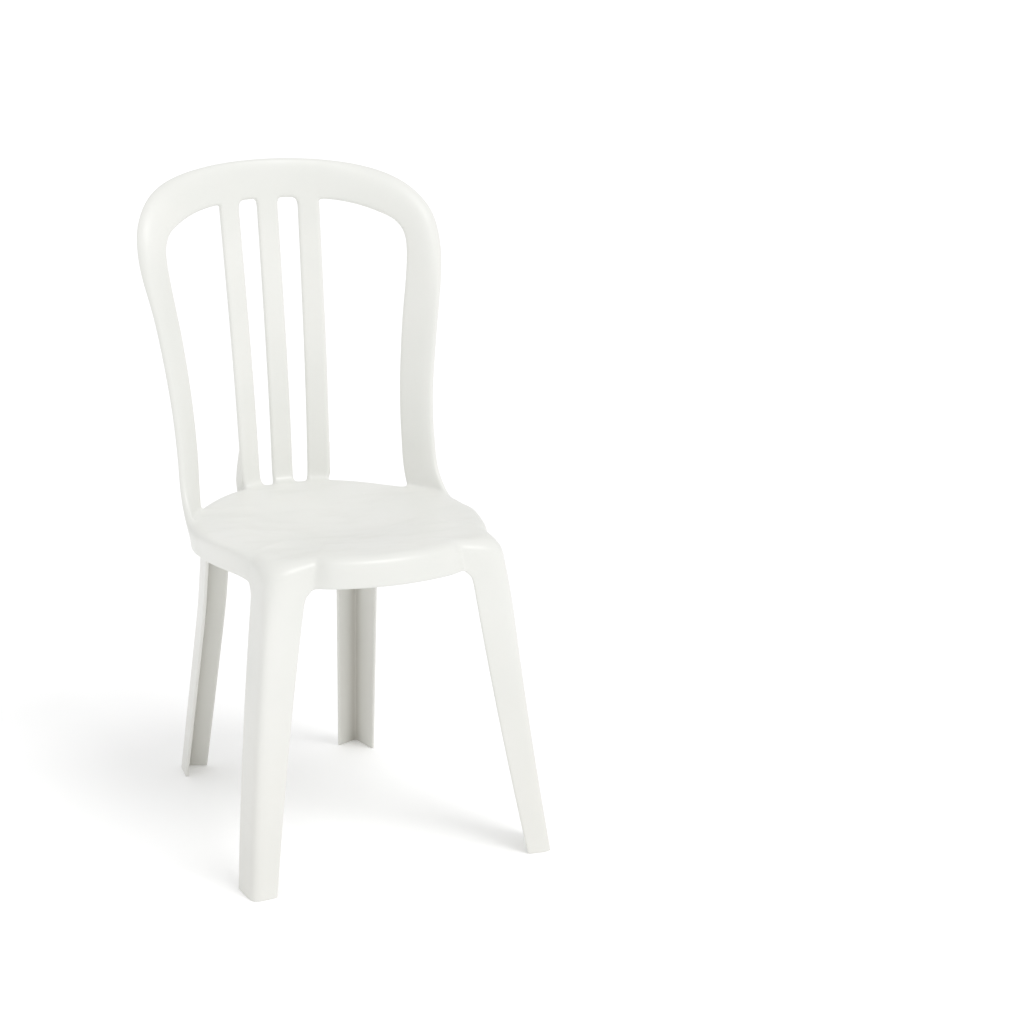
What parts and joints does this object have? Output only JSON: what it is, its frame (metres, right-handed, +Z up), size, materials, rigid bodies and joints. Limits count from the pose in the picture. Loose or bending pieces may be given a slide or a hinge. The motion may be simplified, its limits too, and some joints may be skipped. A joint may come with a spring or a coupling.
{
  "type": "stacking chair",
  "caption": "Armless stacking bistro chair moulded in white resin: round dished seat with a rolled skirt, splayed angle-section legs, and a hooped back with vertical slats.",
  "frame": {"origin": "on the floor, under the middle of the chair's overall box", "axes": "+Z up, the sitter faces -Y, +X is to the right seen from the front"},
  "size_m": [0.4448, 0.5309, 0.8893],
  "materials": {
    "resin": "satin white polypropylene"
  },
  "bodies": {
    "root": {"gusset_left": "resin", "gusset_right": "resin", "hoop_corner_left": "resin", "hoop_corner_right": "resin", "hoop_crown": "resin", "leg_front_left": "resin", "leg_front_right": "resin", "leg_rear_left": "resin", "leg_rear_right": "resin", "seat_panel": "resin", "skirt_front": "resin", "skirt_left": "resin", "skirt_rear": "resin", "skirt_right": "resin", "slat_centre": "resin", "slat_left": "resin", "slat_right": "resin", "upright_left": "resin", "upright_right": "resin", "wing_left": "resin", "wing_right": "resin"}
  },
  "joints": []
}
